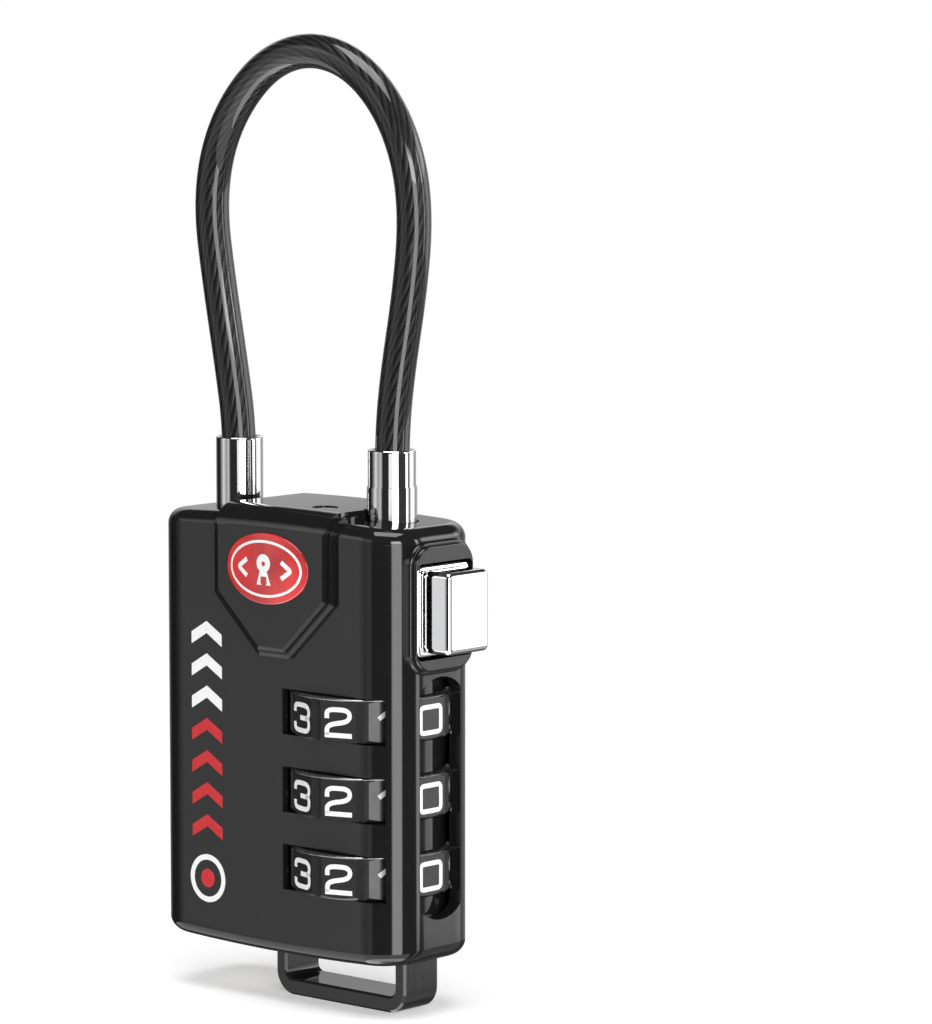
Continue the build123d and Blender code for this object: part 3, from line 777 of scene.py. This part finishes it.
def make_world():
    """The studio that the lock mirrors. The camera itself sees plain white."""
    world = bpy.data.worlds.new("studio")
    bpy.context.scene.world = world
    world.use_nodes = True
    nodes = world.node_tree.nodes
    links = world.node_tree.links
    nodes.clear()

    def math_node(operation, *values):
        """The output of a math node on numbers and other nodes' outputs."""
        node = nodes.new("ShaderNodeMath")
        node.operation = operation
        for socket, value in zip(node.inputs, values):
            if isinstance(value, (int, float)):
                socket.default_value = value
            else:
                links.new(value, socket)
        return node.outputs[0]

    place = nodes.new("ShaderNodeTexCoord")
    parts = nodes.new("ShaderNodeSeparateXYZ")
    links.new(place.outputs["Generated"], parts.inputs["Vector"])
    x, y, z = (parts.outputs[axis] for axis in "XYZ")
    azimuth = math_node("ARCTAN2", x, math_node("MULTIPLY", y, -1.0))
    around = math_node("MULTIPLY_ADD", azimuth, 1 / math.tau, 0.5)
    ramp = nodes.new("ShaderNodeValToRGB")
    stops = ramp.color_ramp.elements
    stops[0].position = 0
    stops[1].position = 1
    for degrees, _ in WALLS[1:-1]:
        stops.new((degrees + 180) / 360)
    for stop, (degrees, brightness) in zip(stops, WALLS):
        shade = brightness / WALLS_BRIGHTEST
        stop.position = (degrees + 180) / 360
        stop.color = (shade, shade, shade, 1)
    links.new(around, ramp.inputs["Fac"])
    walls = math_node("MULTIPLY", ramp.outputs["Color"], WALLS_BRIGHTEST)
    in_front = math_node("LESS_THAN", y, TABLE_BACK)
    height = nodes.new("ShaderNodeMapRange")
    height.inputs["From Min"].default_value = WALLS_TOP - WALLS_TOP_SOFT
    height.inputs["From Max"].default_value = WALLS_TOP + WALLS_TOP_SOFT
    links.new(z, height.inputs["Value"])
    above = height.outputs["Result"]
    behind = math_node("SUBTRACT", 1.0, in_front)
    behind_low = math_node("MULTIPLY", math_node("LESS_THAN", z, REAR_WALL_FOOT), behind)
    upright = math_node("MULTIPLY", walls, math_node("MULTIPLY_ADD", behind_low, -REAR_DIMMED, 1.0))
    upper_band = math_node("GREATER_THAN", z, UPPER_BAND_FOOT)
    banded = math_node("MULTIPLY", upright, math_node("MULTIPLY_ADD", upper_band, UPPER_BAND_GAIN, 1.0))
    lower = math_node("MULTIPLY", banded, math_node("SUBTRACT", 1.0, above))
    room = math_node("ADD", lower, math_node("MULTIPLY", above, DARK_ABOVE))
    below = math_node("MULTIPLY", math_node("LESS_THAN", z, TABLE_BELOW), in_front)
    card_low, card_high = TABLE_CARD
    card = math_node("MULTIPLY", math_node("GREATER_THAN", z, card_low), math_node("LESS_THAN", z, card_high))
    table = math_node("MULTIPLY", below, math_node("MULTIPLY_ADD", card, TABLE_CARD_GLOW, TABLE_GLOW))
    without_table = math_node("MULTIPLY", room, math_node("SUBTRACT", 1.0, below))
    brightness = math_node("ADD", without_table, table)
    studio = nodes.new("ShaderNodeBackground")
    links.new(brightness, studio.inputs["Strength"])
    backdrop = nodes.new("ShaderNodeBackground")
    backdrop.inputs["Strength"].default_value = 1.0
    backdrop.inputs["Color"].default_value = (1, 1, 1, 1)
    rays = nodes.new("ShaderNodeLightPath")
    chosen = nodes.new("ShaderNodeMixShader")
    links.new(rays.outputs["Is Camera Ray"], chosen.inputs[0])
    links.new(studio.outputs[0], chosen.inputs[1])
    links.new(backdrop.outputs[0], chosen.inputs[2])
    out = nodes.new("ShaderNodeOutputWorld")
    links.new(chosen.outputs[0], out.inputs["Surface"])


def soft_light(name, place, aim, width, depth, watts):
    """A rectangular light that the camera doesn't see."""
    data = bpy.data.lights.new(name, "AREA")
    data.shape = "RECTANGLE"
    data.size = width
    data.size_y = depth
    data.energy = watts
    light = bpy.data.objects.new(name, data)
    bpy.context.collection.objects.link(light)
    light.location = place
    light.rotation_mode = "QUATERNION"
    light.rotation_quaternion = (Vector(aim) - Vector(place)).to_track_quat("-Z", "Y")
    light.visible_camera = False


OVERHEAD_PLACE = (0.05, -0.10, 0.75)
OVERHEAD_AIM = (0, 0, 0.04)
OVERHEAD_SIZE = (0.55, 0.45)
OVERHEAD_WATTS = 4.0
CARD_AZIMUTH = math.radians(38)
CARD_DISTANCE = 0.2
CARD_HEIGHT = 0.0315
CARD_SIZE = (0.062, 0.019)
CARD_WATTS = 0.0035


def make_sleeve_card():
    """A small dim card below the camera, for the cable's metal sleeves to mirror."""
    outward = Vector((math.sin(CARD_AZIMUTH), -math.cos(CARD_AZIMUTH), 0))
    place = outward * CARD_DISTANCE + Vector((0, 0, CARD_HEIGHT))
    soft_light("sleeve_card", place, (0, 0, CARD_HEIGHT), *CARD_SIZE, CARD_WATTS)


FLOOR_R = 0.3
FLOOR_STEPS = 96
FLOOR_Z = -0.02 * MM
FLOOR_GLOW = 0.35
FLOOR_FADE = (0.2, 0.98)


def make_floor():
    """A pale disc that fades out into the backdrop between two shares of its radius."""
    bm = bmesh.new()
    bmesh.ops.create_circle(bm, cap_ends=True, radius=FLOOR_R, segments=FLOOR_STEPS)
    floor = finish_piece("floor", bm)
    floor.location.z = FLOOR_Z
    made = Material("floor", (0.93, 0.93, 0.93), 0.6)
    made.shader.inputs["Specular IOR Level"].default_value = 0.1
    made.colour_from(made.noise(30, 3), (0.90, 0.90, 0.90), (0.94, 0.94, 0.94))
    made.shader.inputs["Emission Color"].default_value = (1, 1, 1, 1)
    made.shader.inputs["Emission Strength"].default_value = FLOOR_GLOW
    distance = made.nodes.new("ShaderNodeVectorMath")
    distance.operation = "LENGTH"
    made.links.new(made.place.outputs["Object"], distance.inputs[0])
    fade = made.nodes.new("ShaderNodeMapRange")
    fade.interpolation_type = "SMOOTHSTEP"
    fade.inputs["From Min"].default_value = FLOOR_R * FLOOR_FADE[0]
    fade.inputs["From Max"].default_value = FLOOR_R * FLOOR_FADE[1]
    fade.inputs["To Min"].default_value = 1
    fade.inputs["To Max"].default_value = 0
    made.links.new(distance.outputs["Value"], fade.inputs["Value"])
    made.links.new(fade.outputs["Result"], made.shader.inputs["Alpha"])
    dress(floor, made.material)
    floor.visible_glossy = False


make_world()
soft_light("overhead", OVERHEAD_PLACE, OVERHEAD_AIM, *OVERHEAD_SIZE, OVERHEAD_WATTS)
make_sleeve_card()
make_floor()
bpy.context.scene.view_settings.view_transform = "Standard"
